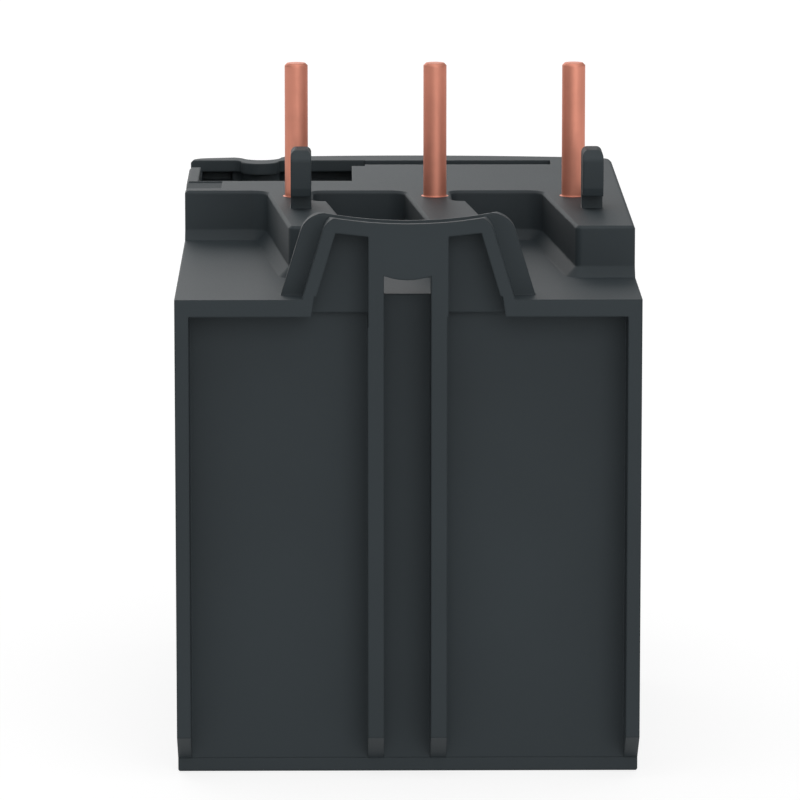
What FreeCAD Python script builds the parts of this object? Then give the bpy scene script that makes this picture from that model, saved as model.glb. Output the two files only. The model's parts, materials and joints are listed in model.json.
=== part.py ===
"""Plug-in bimetallic thermal overload relay, three poles, 45 mm wide.

Millimetres. The front faces -Y, +X is to the right seen from the front, +Z is up, and z = 0 is the bottom
face. Most helpers take a depth, which is measured forwards from the rear plane of the housing.
"""

import math
import os

import FreeCAD
import Part
from FreeCAD import Vector

# Overall size
WIDTH = 45.0
DEPTH = 70.0
HEIGHT = 66.0
HALF = WIDTH / 2
REAR_Y = DEPTH / 2

# Housing levels and walls
FLOOR_Z = 47.34            # top of the rear part of the housing
TOP_Z = 52.35              # top plateau with the plug pins
BOTTOM_T = 1.38            # bottom cover
WALL = 1.5
PANEL_D = 3.9              # depth of the recessed rear panel
STRIP = 1.35               # rear edge strips beside the panel
BAND_Z = 45.67             # lower edge of the band above the panel
CHAMFER_Z = 4.26           # where the ribs and strips start to slope inwards
RIBS = ((-3.74, -2.19), (2.36, 3.92))
INNER = HALF - WALL
CAVITY_REAR = 5.9
CAVITY_TOP = 45.3
NOSE_REAR = 44.0           # front plane of the lower housing, where the terminal blocks join on
NOSE_Z = 27.0              # underside of the nose
NOSE_FLOOR_Z = 28.6
NOSE_ROOF_Z = 50.6
FRONT_EDGE = 67.6          # depth of the nose at its front corners; the middle reaches DEPTH
FRONT_WALL = 2.2
LIP_T = 1.2                # lip in front of the finger opening
RECESS_X = 15.1            # finger recess in the nose front
RECESS_D = 2.9
RECESS_HALF = 3.0
RECESS_EASE = 1.0
RECESS_TURN = 8.2          # degrees; the nose front slants by this at the recess
OPENING_X = 21.3           # outer side of the finger opening
LIP_REAR = 65.7

# Poles
PITCH = 14.14
PIN_X = (11.0 - 2 * PITCH, 11.0 - PITCH, 11.0)
PIN_DEPTH = 37.56
PIN_R = 1.18
COLLAR_R = 1.4             # part of the pin pressed into the plateau
PIN_STEM_R = 1.0           # lower end, inside the heater chamber
POCKET_R = 1.05            # plan radius where a pocket meets a finger's neck
FOOT = 1.0                 # sloped foot where the plateau rises from the floor
EDGE = 0.25                # eased top edge of the plateau
FINGER_NEAR = 15.1
FINGER_FAR = 41.3
STRIP_X = (-15.9, PIN_X[1], PIN_X[2])
STRIP_DEPTH = 24.0
BARRIERS = ((-10.8, -9.6), (3.33, 4.53), (17.6, 18.4))
BARRIER_TOP = 38.55

# Terminals
POWER_X = (-14.5, 0.0, 14.5)
POWER_Z = 8.0
POWER_TOP = 14.5
POWER_FRONT = 50.0
BAR_Z = (3.9, 5.1)         # load terminal bars
AUX_X = (-15.9, -5.3, 5.3, 15.9)
AUX_Z = 20.6
AUX_FRONT = 58.0
HEAD_SIDES = 20            # small fasteners are many-sided, so that seven of them stay light
SHANK_SIDES = 12

# Controls in the nose
WINDOW_X = 19.3
WINDOW_Z = (29.5, 46.5)
PANEL_FACE = 62.0
PANEL_T = 1.6
DIAL = (-9.6, 38.0)
DIAL_R = 6.6
DIAL_TURN = math.radians(250)
CAM_REAR = 49.6
CAM_T = 2.6
CAM_R = (2.6, 3.8)
CAM_ARCS = 5
RESET = (13.4, 34.2)
STOP = (13.4, 42.2)
TEST = (3.6, 33.6)
FLAG = (3.6, 42.0)
BUTTON_R = 3.1
TEST_R = 1.6
CAP_REAR = 66.2            # rear of the button caps, where their springs push
STEM_END = 56.6
STEM_HALF = 1.05           # half the side of the square stems
TEST_STEM_HALF = 0.62
GUIDE_GAP = 0.1
HINGE = (-18.1, 68.2)      # x and depth of the cover's vertical hinge

# Release mechanism
SLIDE_Z = 38.6
LEVER_PIVOT = (15.2, 22.6)
PEG_ARM = 2.6
TRIP_PIVOT = (17.4, 45.8)
SETTING_PIVOT = (-1.2, 46.4)
CARRIER_DEPTH = 53.2
CARRIER_Z = 31.2
FLAG_PIVOT = (-1.5, 31.0)
NC_BLADE_X = -16.0
NO_BLADE_X = 7.0
BLADE_T = 0.3
BLADE_PIVOT_Z = 31.8
BLADE_DEPTH = (55.6, 58.2)
CONTACT_Z = 37.2
CONTACT_ARM_Z = (29.8, 30.6)
RISER_DEPTH = (49.7, 50.7)
RISER_HALF = 2.2
MITRED = 1                 # corner style of a sweep along straight runs


# Helpers: x, depth and z stand for the row's axes, with y = REAR_Y - depth

def at(x, depth, z):
    return Vector(x, REAR_Y - depth, z)


def block(x0, x1, d0, d1, z0, z1):
    return Part.makeBox(x1 - x0, d1 - d0, z1 - z0, at(x0, d1, z0))


def outline(points, radii):
    """Closed wire through 3D points, each corner rounded by its radius (0 keeps it sharp)."""
    count = len(points)
    starts, ends, middles = [], [], []
    for i, corner in enumerate(points):
        to_last = (points[i - 1] - corner).normalize()
        to_next = (points[(i + 1) % count] - corner).normalize()
        radius = radii[i] if isinstance(radii, (list, tuple)) else radii
        if radius <= 0:
            starts.append(corner)
            ends.append(corner)
            middles.append(None)
            continue
        half = to_last.getAngle(to_next) / 2
        reach = radius / math.tan(half)
        inward = (to_last + to_next).normalize()
        starts.append(corner + to_last * reach)
        ends.append(corner + to_next * reach)
        middles.append(corner + inward * (radius / math.sin(half) - radius))
    edges = []
    for i in range(count):
        if middles[i] is not None:
            edges.append(Part.Arc(starts[i], middles[i], ends[i]).toShape())
        following = starts[(i + 1) % count]
        if (following - ends[i]).Length > 1e-6:
            edges.append(Part.LineSegment(ends[i], following).toShape())
    return Part.Wire(edges)


def face(points, radii=0):
    return Part.Face(outline(points, radii))


def prism_z(points, z0, z1, radii=0):
    """Extrude an outline of (x, depth) points upwards."""
    return face([at(x, d, z0) for x, d in points], radii).extrude(Vector(0, 0, z1 - z0))


def prism_x(points, x0, x1, radii=0):
    """Extrude an outline of (depth, z) points across the width."""
    return face([at(x0, d, z) for d, z in points], radii).extrude(Vector(x1 - x0, 0, 0))


def prism_d(points, d0, d1, radii=0):
    """Extrude an outline of (x, z) points forwards."""
    return face([at(x, d0, z) for x, z in points], radii).extrude(Vector(0, d0 - d1, 0))


def rod_z(x, depth, r, z0, z1):
    return Part.makeCylinder(r, z1 - z0, at(x, depth, z0), Vector(0, 0, 1))


def rod_d(x, z, r, d0, d1):
    return Part.makeCylinder(r, d1 - d0, at(x, d0, z), Vector(0, -1, 0))


def bar_d(x, z, half, d0, d1):
    """Square bar along the depth."""
    return block(x - half, x + half, d0, d1, z - half, z + half)


def sided_rod(x, z, r, sides, d0, d1):
    """Many-sided rod along the depth."""
    turns = [2 * math.pi * i / sides for i in range(sides)]
    return prism_d([(x + r * math.cos(turn), z + r * math.sin(turn)) for turn in turns], d0, d1)


def turned_d(x, z, profile):
    """Solid of revolution about a line along the depth; profile is (radius, depth) points."""
    section = face([at(x + r, d, z) for r, d in profile])
    return section.revolve(at(x, 0, z), Vector(0, 1, 0), 360)


def fuse(first, *others):
    return first.multiFuse(list(others)).removeSplitter() if others else first


def cut(body, *tools):
    for tool in tools:
        body = body.cut(tool)
    return body


def rounded(body, radius, chosen):
    """Fillet the edges for which chosen(edge) is true."""
    edges = [edge for edge in body.Edges if chosen(edge)]
    return body.makeFillet(radius, edges)


def chamfered(body, size, chosen):
    """Chamfer the edges for which chosen(edge) is true."""
    edges = [edge for edge in body.Edges if chosen(edge)]
    return body.makeChamfer(size, edges)


def level(edge, z, tolerance=0.01):
    box = edge.BoundBox
    return abs(box.ZMin - z) < tolerance and abs(box.ZMax - z) < tolerance


def upright(edge):
    box = edge.BoundBox
    return box.XLength < 0.01 and box.YLength < 0.01


# Housing

def front_depth(x):
    """Depth of the convex nose front at x."""
    sag = DEPTH - FRONT_EDGE
    radius = (HALF * HALF + sag * sag) / (2 * sag)
    return DEPTH - radius + math.sqrt(radius * radius - x * x)


def nose_block(z0, z1, inset=0.0, rear=FINGER_FAR, half=HALF, corner=2.0):
    """The nose in plan: straight sides, a convex front and rounded front corners."""
    left = at(-half, rear, z0)
    right = at(half, rear, z0)
    front_left = at(-half, front_depth(half) - inset, z0)
    front_right = at(half, front_depth(half) - inset, z0)
    front_mid = at(0, front_depth(0) - inset, z0)
    edges = [
        Part.LineSegment(right, front_right).toShape(),
        Part.Arc(front_right, front_mid, front_left).toShape(),
        Part.LineSegment(front_left, left).toShape(),
        Part.LineSegment(left, right).toShape(),
    ]
    body = Part.Face(Part.Wire(edges)).extrude(Vector(0, 0, z1 - z0))
    front_y = REAR_Y - FRONT_EDGE + 2
    return rounded(body, corner, lambda e: upright(e) and e.BoundBox.YMin < front_y)


def plateau_outline():
    """Plan of the top plateau behind the nose: one raised finger round each plug pin."""
    points = [(HALF, 55.0), (HALF, FINGER_FAR)]
    radii = [0, 0]
    for pin_x in (PIN_X[2], PIN_X[1]):
        points += [(pin_x + 3.15, FINGER_FAR), (pin_x + 0.6, FINGER_NEAR), (pin_x - 5.3, FINGER_NEAR),
                   (pin_x - 3.2, 33.7), (pin_x - 1.7, 33.7), (pin_x - 1.7, FINGER_FAR)]
        radii += [1.8, 0.7, 0.7, 0.3, POCKET_R, POCKET_R]
    side_x = PIN_X[0]
    points += [(side_x + 3.15, FINGER_FAR), (side_x + 0.6, FINGER_NEAR), (-HALF, FINGER_NEAR), (-HALF, 55.0)]
    radii += [1.8, 0.7, 0, 0]
    return points, radii


def plateau():
    """Top plateau with its three fingers."""
    points, radii = plateau_outline()
    return fuse(prism_z(points, FLOOR_Z, TOP_Z, radii), nose_block(FLOOR_Z, TOP_Z, rear=50.0))


def hook_tab(x0):
    """Upright tab with a nose towards the rear, which hooks into the contactor."""
    x1 = x0 + 2.05
    profile = [(28.0, TOP_Z - 1), (28.0, 53.8), (26.1, 53.8), (25.9, 54.6), (25.9, 57.5),
               (27.0, 58.4), (30.2, 58.4), (31.0, 57.2), (31.0, TOP_Z - 1)]
    front_view = [(x0, TOP_Z - 1), (x0, 58.4), (x1, 58.4), (x1, TOP_Z - 1)]
    side = prism_x(profile, x0, x1, [0, 0, 0, 0.3, 0.5, 0.5, 0.5, 0.5, 0])
    return side.common(prism_d(front_view, 25.0, 32.0, [0, 0.65, 0.65, 0]))


def top_dip(low_z, radius, fall):
    """Cutter for the tongue's hollow top edge, which falls towards the front."""
    return Part.makeCylinder(radius, 10, at(0, -2, low_z + radius + 2 * fall), Vector(0, -1, -fall))


def tongue():
    """Rear hook tongue: a framed plate in front of a wider backing plate."""
    slope = 0.306
    near = prism_d(
        [(-10.66, 46.0), (10.66, 46.0), (10.66 - slope * 9.4, 55.4), (-10.66 + slope * 9.4, 55.4)],
        0.0, 3.0, [0, 0, 1.9, 1.9])
    back = prism_d(
        [(-12.7, 46.0), (12.7, 46.0), (12.7 - slope * 9.3, 55.3), (-12.7 + slope * 9.3, 55.3)],
        3.0, 4.6, [0, 0, 2.4, 2.4])
    body = fuse(near, back)
    body = cut(body, top_dip(54.93, 45.0, 0.108))
    for side in (-1, 1):
        pane = [(side * 3.86, 53.45), (side * 7.0, 53.8), (side * 9.65, 45.0), (side * 3.86, 45.0)]
        body = cut(body, prism_d(pane, -1, 3.0))
    opening = block(RIBS[0][1], RIBS[1][0], -1, 6, FLOOR_Z, 49.65)
    return cut(body, cut(opening, rod_d(0.08, 49.25 + 6.6, 6.6, -1, 6)))


def rear_recess():
    """Cutter for the recessed rear panel between the edge strips and the two ribs."""
    edge = HALF - STRIP
    pocket = block(-edge, edge, -1, PANEL_D, 0, BAND_Z)
    for x0, x1 in RIBS:
        pocket = pocket.cut(block(x0, x1, -1, PANEL_D, 0, BAND_Z))
    groove = block(RIBS[0][1], RIBS[1][0], -1, PANEL_D, BAND_Z - 1, FLOOR_Z + 1)
    panes = [
        prism_d([(s * 3.86, BAND_Z + 2), (s * 9.05, BAND_Z + 2), (s * 9.5, BAND_Z - 1),
                 (s * 3.86, BAND_Z - 1)], -1, 3.0)
        for s in (-1, 1)
    ]
    slope = prism_x([(-1, CHAMFER_Z + 0.74), (PANEL_D, BOTTOM_T), (PANEL_D, 0), (-1, 0)], -HALF - 1, HALF + 1)
    return [pocket, groove, slope] + panes


def finger_hollow(base, z0, z1, turn=0.0):
    """Hollow in plan, from an arc that eases out into the base line at both ends, and all in front of it."""
    sweep = 2 * math.atan(RECESS_D / RECESS_HALF)

    def eased(side, angle):
        return at(RECESS_X + side * (RECESS_HALF - RECESS_EASE * math.sin(angle)),
                  base - RECESS_EASE * (1 - math.cos(angle)), z0)

    left, right = (eased(side, 0) for side in (-1, 1))
    left_end, right_end = (eased(side, sweep) for side in (-1, 1))
    deepest = at(RECESS_X, base - RECESS_D, z0)
    front_left = at(RECESS_X - RECESS_HALF, DEPTH + 2, z0)
    front_right = at(RECESS_X + RECESS_HALF, DEPTH + 2, z0)
    edges = [
        Part.LineSegment(front_left, left).toShape(),
        Part.Arc(left, eased(-1, sweep / 2), left_end).toShape(),
        Part.Arc(left_end, deepest, right_end).toShape(),
        Part.Arc(right_end, eased(1, sweep / 2), right).toShape(),
        Part.LineSegment(right, front_right).toShape(),
        Part.LineSegment(front_right, front_left).toShape(),
    ]
    form = Part.Face(Part.Wire(edges)).extrude(Vector(0, 0, z1 - z0))
    form.rotate(at(RECESS_X, base, z0), Vector(0, 0, 1), turn)
    return form


def top_openings():
    """Finger opening, its side notch and the thin slot behind the front lip."""
    z0, z1 = NOSE_ROOF_Z - 3, TOP_Z + 1
    opening = block(5.3, OPENING_X, 49.05, 61.1, z0, z1)
    reach = block(3.9, OPENING_X, 61.0, LIP_REAR, z0, z1)
    slot = block(-15.9, 4.0, 62.2, 65.5, z0, z1)
    notch = block(OPENING_X - 0.1, HALF + 1, 60.05, LIP_REAR, TOP_Z - 1.3, z1)
    return fuse(opening, reach, slot, notch)


def edge_ramp():
    """Shallow sloped notch at the plateau's side edge."""
    ramp = prism_x([(43.3, TOP_Z - 0.9), (48.75, TOP_Z - 0.1), (48.75, TOP_Z + 1), (43.3, TOP_Z + 1)],
                   18.8, HALF + 1)
    return ramp


def riser_slot(x, z0, z1):
    return block(x - RISER_HALF, x + RISER_HALF, *RISER_DEPTH, z0, z1)


def plateau_foot(edge):
    box = edge.BoundBox
    inside = box.XMax - box.XMin > 0.01 or abs(box.XMin) < HALF - 0.01
    return level(edge, FLOOR_Z) and box.YMax < REAR_Y - 1 and inside


def main_housing():
    lower = block(-HALF, HALF, 0, NOSE_REAR, BOTTOM_T, FLOOR_Z)
    body = fuse(lower, nose_block(NOSE_Z, FLOOR_Z), plateau())
    body = chamfered(body, FOOT, plateau_foot)
    body = chamfered(body, EDGE, lambda e: level(e, TOP_Z))
    body = fuse(body, tongue(), hook_tab(9.45), hook_tab(-19.85))
    body = cut(body, *rear_recess())

    chamber = block(-INNER, INNER, CAVITY_REAR, NOSE_REAR + 1, 0, CAVITY_TOP)
    hollow = nose_block(NOSE_FLOOR_Z, NOSE_ROOF_Z, FRONT_WALL, NOSE_REAR - 1.2, INNER, 0.8)
    below = block(-INNER, INNER, NOSE_REAR - 1, NOSE_REAR + 1, 0, NOSE_Z)
    body = cut(body, chamber.cut(block(-HALF, HALF, NOSE_REAR, NOSE_REAR + 2, NOSE_Z, NOSE_FLOOR_Z)))
    body = cut(body, hollow, below)
    window = block(-WINDOW_X, WINDOW_X, PANEL_FACE + 1, DEPTH + 1, *WINDOW_Z)
    body = cut(body, window, edge_ramp())

    # the wall behind the finger recess bulges inwards with it, and so does the lip on top
    under_lip = TOP_Z - LIP_T
    solid_nose = nose_block(WINDOW_Z[1], TOP_Z, 0.3, 60.0)
    recess_front = front_depth(RECESS_X)
    wall_bulge = finger_hollow(recess_front - 2.0, WINDOW_Z[1], TOP_Z, RECESS_TURN)
    lip_bulge = finger_hollow(LIP_REAR, under_lip, TOP_Z)
    bulge = fuse(wall_bulge, lip_bulge).common(solid_nose)
    relief = block(3.9, OPENING_X, LIP_REAR, 67.7, NOSE_ROOF_Z - 0.5, under_lip)
    body = fuse(cut(body, top_openings(), relief), bulge)
    body = cut(body, finger_hollow(recess_front, WINDOW_Z[1] - 1, TOP_Z + 1, RECESS_TURN))
    x, depth = HINGE
    ears = [rod_z(x, depth, 1.15, z0, z1) for z0, z1 in ((NOSE_Z + 0.5, WINDOW_Z[0] - 0.1),
                                                         (WINDOW_Z[1] + 0.1, 49.0))]
    body = fuse(body, *ears)

    walls = [block(x0, x1, CAVITY_REAR - 0.5, 36.0, BOTTOM_T, BARRIER_TOP) for x0, x1 in BARRIERS]
    guides = [block(x0, x1, d, d + 1.2, BARRIER_TOP - 0.5, 41.0) for x0, x1 in BARRIERS for d in (17.7, 29.1)]
    stops = [block(s * 20.3 - 0.75, s * 20.3 + 0.75, 58.8, PANEL_FACE - PANEL_T, 30.0, 47.0) for s in (-1, 1)]
    body = fuse(body, *walls, *guides, *stops)
    for x in PIN_X:
        body = cut(body, rod_z(x, PIN_DEPTH, COLLAR_R, CAVITY_TOP - 1, TOP_Z + 1))
    for x in AUX_X:
        body = cut(body, riser_slot(x, NOSE_Z - 0.5, NOSE_FLOOR_Z + 0.5))
    x, depth = HINGE
    return cut(body, rod_z(x, depth, 0.62, 28.0, 48.4))


def bottom_cover():
    """Base plate with chamfered rear edge, cable entries and two snap ribs."""
    plate = prism_x([(PANEL_D, 0), (POWER_FRONT, 0), (POWER_FRONT, BOTTOM_T), (PANEL_D, BOTTOM_T)],
                    -HALF, HALF)
    plate = rounded(plate, 0.3, lambda e: level(e, 0))
    for x in POWER_X:
        plate = cut(plate, block(x - 3.4, x + 3.4, 42.9, 48.4, -1, BOTTOM_T + 1))
    for x in (-20.85, 19.85):
        plate = plate.fuse(block(x, x + 1.0, 12.0, 36.0, BOTTOM_T - 0.2, BOTTOM_T + 2.0))
    for x in STRIP_X:
        plate = plate.fuse(block(x - 2.5, x + 2.5, 21.0, 30.0, BOTTOM_T - 0.2, BAR_Z[0]))
    return plate.removeSplitter()


# Terminal blocks

def power_terminal_block():
    """Lower step with three open-bottomed clamp chambers and round driver holes."""
    body = prism_x([(NOSE_REAR, BOTTOM_T), (NOSE_REAR, POWER_TOP), (POWER_FRONT, POWER_TOP),
                    (POWER_FRONT, BOTTOM_T)], -HALF, HALF, [0, 0, 1.0, 0])
    body = fuse(body, block(-20.9, 20.9, 40.0, NOSE_REAR, BOTTOM_T, POWER_TOP))
    body = chamfered(body, 0.7, lambda e: upright(e) and e.BoundBox.YMin < REAR_Y - POWER_FRONT + 0.1)
    for x in POWER_X:
        chamber = block(x - 4.6, x + 4.6, 42.2, 48.4, BOTTOM_T - 1, 12.9)
        hole = rod_d(x, POWER_Z, 3.3, 47.0, POWER_FRONT + 1)
        bar = block(x - 3.5, x + 3.5, 39.0, 42.3, *BAR_Z)
        tip = bar_d(x, POWER_Z, 2.0, 40.9, 42.3)
        body = cut(body, chamber, hole, bar, tip)
    for x in (-21.9, -7.7, 6.7, 20.9):
        groove = block(x, x + 1.0, POWER_FRONT - 0.6, POWER_FRONT + 1, BOTTOM_T - 1, POWER_TOP - 2)
        body = cut(body, groove)
    return body


def auxiliary_terminal_block():
    """Upper step with four clamp chambers, driver holes and slots for the contact bars."""
    body = prism_x([(NOSE_REAR, POWER_TOP), (NOSE_REAR, NOSE_Z), (AUX_FRONT, NOSE_Z),
                    (AUX_FRONT, POWER_TOP)], -HALF, HALF, [0, 0, 1.0, 1.0])
    body = chamfered(body, 0.7, lambda e: upright(e) and e.BoundBox.YMin < REAR_Y - AUX_FRONT + 0.1)
    for x in AUX_X:
        chamber = block(x - 3.4, x + 3.4, RISER_DEPTH[1], 56.4, POWER_TOP - 1, 25.2)
        hole = rod_d(x, AUX_Z, 3.1, 55.0, AUX_FRONT + 1)
        shank = bar_d(x, AUX_Z, 1.8, 45.6, 51.0)
        body = cut(body, chamber, hole, riser_slot(x, 16.4, NOSE_Z + 1), shank)
    for x in (-21.0, -10.95, -0.35, 10.25, 20.3):
        body = cut(body, block(x, x + 0.7, AUX_FRONT - 0.5, AUX_FRONT + 1, POWER_TOP + 2, NOSE_Z - 2))
    return body


def pan_screw(x, z, head_r, head_t, shank_r, head_depth, tip_depth):
    """Pan-head screw that points to the rear, without its slot and thread."""
    head = sided_rod(x, z, head_r, HEAD_SIDES, head_depth, head_depth + head_t)
    return fuse(head, sided_rod(x, z, shank_r, SHANK_SIDES, tip_depth, head_depth + 0.1))


def power_screw(x):
    return pan_screw(x, POWER_Z, 3.1, 1.7, 1.9, 46.1, 41.4)


def auxiliary_screw(x):
    return pan_screw(x, AUX_Z, 2.7, 1.5, 1.6, 53.5, 46.2)


def saddle(x, z, half, low, high, depth, thickness, hole_r):
    """Captive clamp plate with turned-in side lips."""
    plate = block(x - half, x + half, depth, depth + thickness, z - low, z + high)
    for side in (-1, 1):
        edge = x + side * half
        lip = block(min(edge, edge - side * 0.6), max(edge, edge - side * 0.6), depth - 0.9, depth + 0.1,
                    z - low + 0.6, z + high - 0.4)
        plate = plate.fuse(lip)
    return cut(plate.removeSplitter(), sided_rod(x, z, hole_r, SHANK_SIDES, depth - 1, depth + thickness + 1))


def power_clamp(x):
    return saddle(x, POWER_Z, 3.9, 5.2, 3.9, 45.0, 1.1, 2.0)


def auxiliary_clamp(x):
    return saddle(x, AUX_Z, 3.0, 4.2, 3.4, 52.6, 0.9, 1.7)


def load_terminal(strip_x, screw_x):
    """Bar from the heater chamber to the clamp: a foot, a joggled bar and an upright screw plate."""
    foot_r = strip_x + 3.0
    foot_l = strip_x - 3.0
    bar = prism_z([(foot_l, 20.0), (foot_r, 20.0), (foot_r, 33.0), (screw_x + 3.5, 38.0),
                   (screw_x + 3.5, 43.4), (screw_x - 3.5, 43.4), (screw_x - 3.5, 38.0), (foot_l, 33.0)],
                  *BAR_Z)
    plate = block(screw_x - 3.5, screw_x + 3.5, 42.2, 43.4, BAR_Z[0], 12.2)
    lug = block(strip_x + 0.4, strip_x + 1.4, 20.8, 27.2, BAR_Z[0] + 0.5, 9.4)
    return cut(fuse(bar, plate, lug), sided_rod(screw_x, POWER_Z, 1.9, SHANK_SIDES, 41, 45))


# Power path

def plug_pin(x):
    """Round copper pin: chamfered tip, collar pressed into the plateau, flattened lower end."""
    profile = [(0, 33.0), (PIN_STEM_R, 33.0), (PIN_STEM_R, CAVITY_TOP), (COLLAR_R, CAVITY_TOP),
               (COLLAR_R, TOP_Z), (PIN_R, TOP_Z), (PIN_R, HEIGHT - 0.25), (PIN_R - 0.25, HEIGHT), (0, HEIGHT)]
    section = face([at(x + r, PIN_DEPTH, z) for r, z in profile])
    body = section.revolve(at(x, PIN_DEPTH, 0), Vector(0, 0, 1), 360)
    flat = block(x - 3, x + 3, PIN_DEPTH - 3, PIN_DEPTH - 0.45, 30, 41)
    return cut(body, flat)


def bimetal_strip(x):
    """Upright strip, clamped at its foot, whose free end reaches through both slides."""
    return prism_x([(21.0, BAR_Z[1]), (27.0, BAR_Z[1]), (27.0, 37.5), (25.8, 38.3), (25.8, 41.7),
                    (22.2, 41.7), (22.2, 38.3), (21.0, 37.5)], x - 0.4, x + 0.4)


def heater_winding(x, pin_x):
    """Flat ribbon wound round the strip, with tails to the pin and to the load terminal."""
    half_x, half_d, rise = 1.75, 4.1, 2.6
    z = 11.0
    path = [at(x + half_x, STRIP_DEPTH + 7.0, BAR_Z[1] - 0.1), at(x + half_x, STRIP_DEPTH + half_d, 9.6)]
    for _ in range(8):
        for sx, sd in ((-1, 1), (-1, -1), (1, -1), (1, 1)):
            path.append(at(x + sx * half_x, STRIP_DEPTH + sd * half_d, z))
            z += rise / 4
    path.append(at(pin_x, PIN_DEPTH - 0.6, 35.2))
    wire = Part.makePolygon(path)
    start = path[0]
    along = (path[1] - path[0]).normalize()
    side = along.cross(Vector(0, 0, 1)).normalize()
    tall = side.cross(along).normalize()
    corners = [start + side * a + tall * b for a, b in ((-0.3, -0.6), (0.3, -0.6), (0.3, 0.6), (-0.3, 0.6))]
    section = Part.makePolygon(corners + [corners[0]])
    return Part.Wire(wire).makePipeShell([section], True, False, MITRED)


# Release mechanism

def slide_plate(z, x0, x1, slot_left, slot_right):
    """Slide with one slot per bimetal strip."""
    body = block(x0, x1, 19.0, 29.0, z, z + 1.0)
    for x in STRIP_X:
        body = cut(body, block(x - slot_left, x + slot_right, 21.9, 26.1, z - 1, z + 2))
    return body


def trip_slide():
    body = slide_plate(SLIDE_Z, -19.6, 18.2, 2.4, 0.5)
    x, depth = LEVER_PIVOT
    return fuse(body, rod_z(x, depth, 1.5, SLIDE_Z + 0.5, 41.25), rod_z(x, depth, 1.0, SLIDE_Z + 0.5, 42.6))


def differential_slide():
    z = SLIDE_Z + 1.05
    body = cut(slide_plate(z, -19.6, 13.6, 1.6, 1.6), block(12.9, 14.0, 20.7, 30, z - 1, z + 2))
    x, depth = LEVER_PIVOT
    arm = block(12.0, x + 1.0, 19.0, 20.7, z, z + 1.0)
    peg = rod_z(x, depth - PEG_ARM, 0.7, z + 0.5, 42.6)
    return fuse(body, arm, peg)


def differential_lever():
    """Lever on the trip slide's stud: a slot for the peg behind, a pushing tip in front."""
    x, depth = LEVER_PIVOT
    body = prism_z([(x - 1.7, depth - 4.4), (x + 1.7, depth - 4.4), (x + 1.9, depth), (x + 1.5, depth + 5.6),
                    (x + 0.2, depth + 6.2), (x - 0.9, depth + 5.0), (x - 1.9, depth)],
                   41.3, 42.4, [0, 0, 0, 0.5, 0.5, 0.5, 0])
    slot = block(x - 0.95, x + 0.95, depth - 3.7, depth - 1.5, 41, 43)
    return cut(body, rod_z(x, depth, 1.08, 41, 43), slot)


def mechanism_base():
    """Moulded base on the nose floor with the posts that carry the levers and guide the carrier."""
    body = block(-20.4, 20.4, 44.6, 60.0, NOSE_FLOOR_Z, 29.6)
    d = CARRIER_DEPTH
    guides = []
    for x in (-13.0, 0.6, 10.6):
        cradle = block(x - 0.8, x + 0.8, d - 2.1, d + 2.1, 29.4, CARRIER_Z + 1.4)
        guides.append(cut(cradle, block(x - 1, x + 1, d - 1.05, d + 1.05, CARRIER_Z - 0.05, CARRIER_Z + 2)))
    tx, td = TRIP_PIVOT
    sx, sd = SETTING_PIVOT
    fx, fz = FLAG_PIVOT
    post = block(tx - 1.9, tx + 1.9, td - 1.9, td + 1.9, 29.4, 40.2)
    bracket = block(sx - 2.0, sx + 2.0, 44.9, 46.9, 29.4, 48.2)
    flag_post = block(fx - 1.1, fx + 1.1, 57.0, 58.6, 29.4, fz + 1.2)
    spring_post = block(18.7, 19.6, d - 1.0, d + 1.0, 29.4, CARRIER_Z + 1.0)
    body = fuse(body, *guides, post, bracket, flag_post, spring_post)
    for x in AUX_X:
        body = cut(body, riser_slot(x, NOSE_FLOOR_Z - 1, 31))
    return cut(body, rod_z(tx, td, 0.8, 33.0, 41.0), rod_d(sx, sd, 0.8, 44.5, 47.5),
               rod_d(fx, fz, 0.55, 56.0, 59.0))


def trip_pivot_pin():
    x, depth = TRIP_PIVOT
    return rod_z(x, depth, 0.8, 33.0, 45.0)


def trip_lever():
    """Two-armed lever: the rear arm is pushed by the differential lever, the front arm trips."""
    x, depth = TRIP_PIVOT
    hub = rod_z(x, depth, 2.0, 40.25, 44.8)
    rear = prism_z([(x - 0.2, depth), (x + 1.4, depth), (x + 1.5, 27.0), (x + 0.6, 27.0)], 41.2, 43.8)
    front = prism_z([(x - 1.4, depth), (x + 0.6, depth), (x - 0.2, 50.4), (x - 1.4, 50.4)], 41.2, 44.4)
    finger_down = block(x - 1.4, x - 0.2, 49.4, 50.4, 33.2, 42.0)
    return cut(fuse(hub, rear, front, finger_down), rod_z(x, depth, 0.85, 40, 45.5))


def compensation_bimetal():
    """Strip riveted to the trip lever that cancels the ambient temperature."""
    x, depth = TRIP_PIVOT
    strip = block(x - 2.0, x - 1.4, 47.4, 54.2, 41.4, 44.2)
    rivet = Part.makeCylinder(0.5, 0.35, at(x - 2.3, 48.8, 42.8), Vector(1, 0, 0))
    return fuse(strip, rivet)


def cam_rim(angle):
    """Point on the setting cam's snail, whose radius grows evenly with the dial's turn (radians)."""
    x, z = DIAL
    r = CAM_R[0] + (CAM_R[1] - CAM_R[0]) * angle / DIAL_TURN
    return at(x + r * math.cos(angle), CAM_REAR, z + r * math.sin(angle))


def snail_cam():
    """Setting cam: a snail built from equal arcs, closed by a straight step."""
    span = DIAL_TURN / CAM_ARCS
    edges = [Part.Arc(cam_rim(i * span), cam_rim((i + 0.5) * span), cam_rim((i + 1) * span)).toShape()
             for i in range(CAM_ARCS)]
    edges.append(Part.LineSegment(cam_rim(DIAL_TURN), cam_rim(0)).toShape())
    return Part.Face(Part.Wire(edges)).extrude(Vector(0, -CAM_T, 0))


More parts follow.
